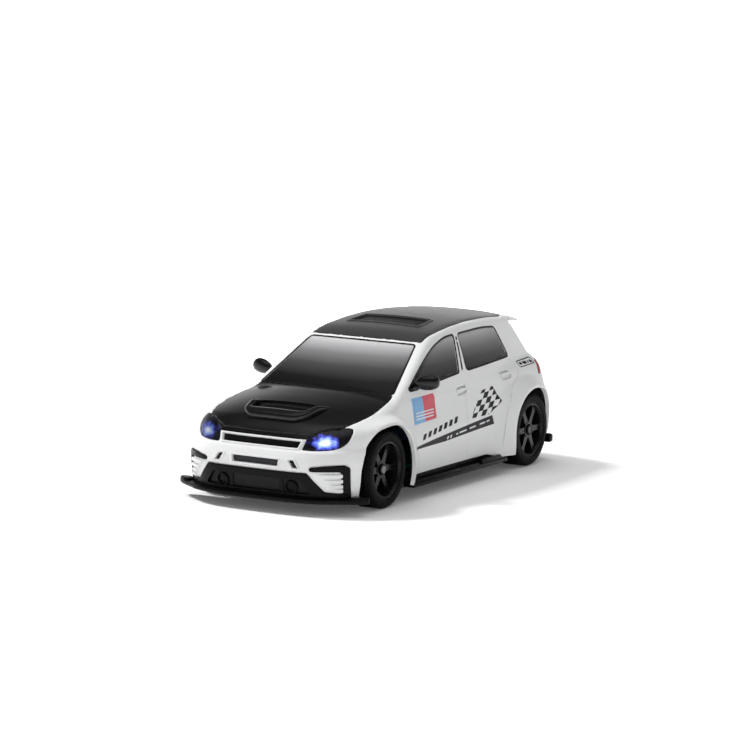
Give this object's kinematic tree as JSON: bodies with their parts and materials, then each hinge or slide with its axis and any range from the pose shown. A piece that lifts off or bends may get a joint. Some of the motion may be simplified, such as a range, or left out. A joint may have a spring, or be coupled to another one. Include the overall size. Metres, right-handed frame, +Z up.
{
  "type": "remote-control drift car",
  "caption": "Small-scale remote-control drift car: white wide-body hatchback shell with black bonnet and roof on a rear-drive chassis with linked steering and front suspension.",
  "frame": {"origin": "on the ground, at the middle of the overall length and width; the middle of the wheelbase is 1.14 mm behind it", "axes": "+X the car's left side, -Y its front, +Z up"},
  "size_m": [0.0456, 0.0976, 0.0342],
  "materials": {
    "shell_white": "gloss",
    "gloss_black": "gloss",
    "dark_trim": "satin",
    "smoked_glass": "polished",
    "lamp_clear": "polished",
    "lamp_red": "gloss",
    "tyre_rubber": "matte",
    "rim_black": "gloss",
    "steel": "satin",
    "chassis_nylon": "matte",
    "grey_nylon": "matte",
    "natural_nylon": "satin",
    "brass": "polished",
    "circuit_board": "satin",
    "battery_wrap": "gloss",
    "switch_red": "satin"
  },
  "bodies": {
    "chassis": {"chassis_tub": "chassis_nylon", "front_bridge": "grey_nylon", "gearbox_housing": "grey_nylon", "gearbox_cover": "dark_trim", "motor_can": "steel", "battery": "battery_wrap", "control_board": "circuit_board", "charge_port": "steel", "servo_case": "chassis_nylon", "chassis_screws": "steel", "axle_bearings": "steel", "power_switch": "steel"},
    "shell": {"body_shell": "shell_white", "bonnet": "gloss_black", "roof_panel": "gloss_black", "windscreen": "smoked_glass", "front_left_window": "smoked_glass", "rear_left_window": "smoked_glass", "front_right_window": "smoked_glass", "rear_right_window": "smoked_glass", "rear_window": "smoked_glass", "grille_bar": "dark_trim", "headlight_left": "lamp_clear", "headlight_right": "lamp_clear", "taillight_left": "lamp_red", "taillight_right": "lamp_red", "lower_grille": "dark_trim", "front_splitter": "dark_trim", "corner_trim_left": "gloss_black", "corner_trim_right": "gloss_black", "side_skirt_left": "dark_trim", "side_skirt_right": "dark_trim", "mirror_left": "gloss_black", "mirror_right": "gloss_black", "rear_spoiler": "shell_white", "rear_diffuser": "dark_trim"},
    "switch": {"switch_slider": "switch_red"},
    "steering_servo": {"servo_horn": "natural_nylon"},
    "steering_link": {"tie_rod": "grey_nylon"},
    "left_upright": {"kingpin_left": "steel", "spring_left": "steel"},
    "left_steer": {"knuckle_left": "grey_nylon"},
    "front_left_wheel": {"front_left_rim": "rim_black", "front_left_tyre": "tyre_rubber", "front_left_nut": "steel"},
    "right_upright": {"kingpin_right": "steel", "spring_right": "steel"},
    "right_steer": {"knuckle_right": "grey_nylon"},
    "front_right_wheel": {"front_right_rim": "rim_black", "front_right_tyre": "tyre_rubber", "front_right_nut": "steel"},
    "rear_wheels": {"rear_axle": "steel", "spur_gear": "natural_nylon", "rear_left_rim": "rim_black", "rear_right_rim": "rim_black", "rear_left_tyre": "tyre_rubber", "rear_right_tyre": "tyre_rubber", "rear_wheel_nuts": "steel"},
    "motor_rotor": {"motor_shaft": "steel", "pinion_gear": "brass"}
  },
  "joints": [
    {"name": "shell_lift", "type": "slide", "parent": "chassis", "child": "shell", "axis": [0, 0, 1], "range_m": [0, 0.04]},
    {"name": "power_switch_slide", "type": "slide", "parent": "chassis", "child": "switch", "axis": [0, 1, 0], "range_m": [-0.0009, 0.0009]},
    {"name": "suspension_left", "type": "slide", "parent": "chassis", "child": "left_upright", "axis": [0, 0, 1], "range_m": [-0.0004, 0.0006], "stiffness_N_per_m": 600, "springref_m": -0.0002, "deforming": ["spring_left"]},
    {"name": "suspension_right", "type": "slide", "parent": "chassis", "child": "right_upright", "axis": [0, 0, 1], "range_m": [-0.0004, 0.0006], "stiffness_N_per_m": 600, "springref_m": -0.0002, "deforming": ["spring_right"]},
    {"name": "steer_left", "type": "hinge", "parent": "left_upright", "child": "left_steer", "pos_m": [0.0142, -0.03056, 0.0081], "axis": [0, 0, 1], "range_deg": [-22, 22]},
    {"name": "steer_right", "type": "hinge", "parent": "right_upright", "child": "right_steer", "pos_m": [-0.0142, -0.03056, 0.0081], "axis": [0, 0, 1], "range_deg": [-22, 22]},
    {"name": "servo_turn", "type": "hinge", "parent": "chassis", "child": "steering_servo", "pos_m": [0, -0.03056, 0.009], "axis": [0, 0, 1], "range_deg": [-22, 22]},
    {"name": "link_slide", "type": "slide", "parent": "chassis", "child": "steering_link", "axis": [1, 0, 0], "range_m": [-0.0015, 0.0015]},
    {"name": "wheel_spin_front_left", "type": "hinge", "parent": "left_steer", "child": "front_left_wheel", "pos_m": [0.018, -0.03056, 0.0081], "axis": [1, 0, 0], "continuous": true},
    {"name": "wheel_spin_front_right", "type": "hinge", "parent": "right_steer", "child": "front_right_wheel", "pos_m": [-0.018, -0.03056, 0.0081], "axis": [1, 0, 0], "continuous": true},
    {"name": "rear_axle_spin", "type": "hinge", "parent": "chassis", "child": "rear_wheels", "pos_m": [0, 0.03284, 0.0081], "axis": [1, 0, 0], "continuous": true},
    {"name": "motor_spin", "type": "hinge", "parent": "chassis", "child": "motor_rotor", "pos_m": [0, 0.02729, 0.0081], "axis": [1, 0, 0], "continuous": true}
  ],
  "couplings": [
    {"joint": "steer_right", "follows": "steer_left", "ratio": 1},
    {"joint": "servo_turn", "follows": "steer_left", "ratio": 1},
    {"joint": "link_slide", "follows": "steer_left", "m_per_rad": -0.0039024},
    {"joint": "motor_spin", "follows": "rear_axle_spin", "ratio": -3.1111}
  ]
}
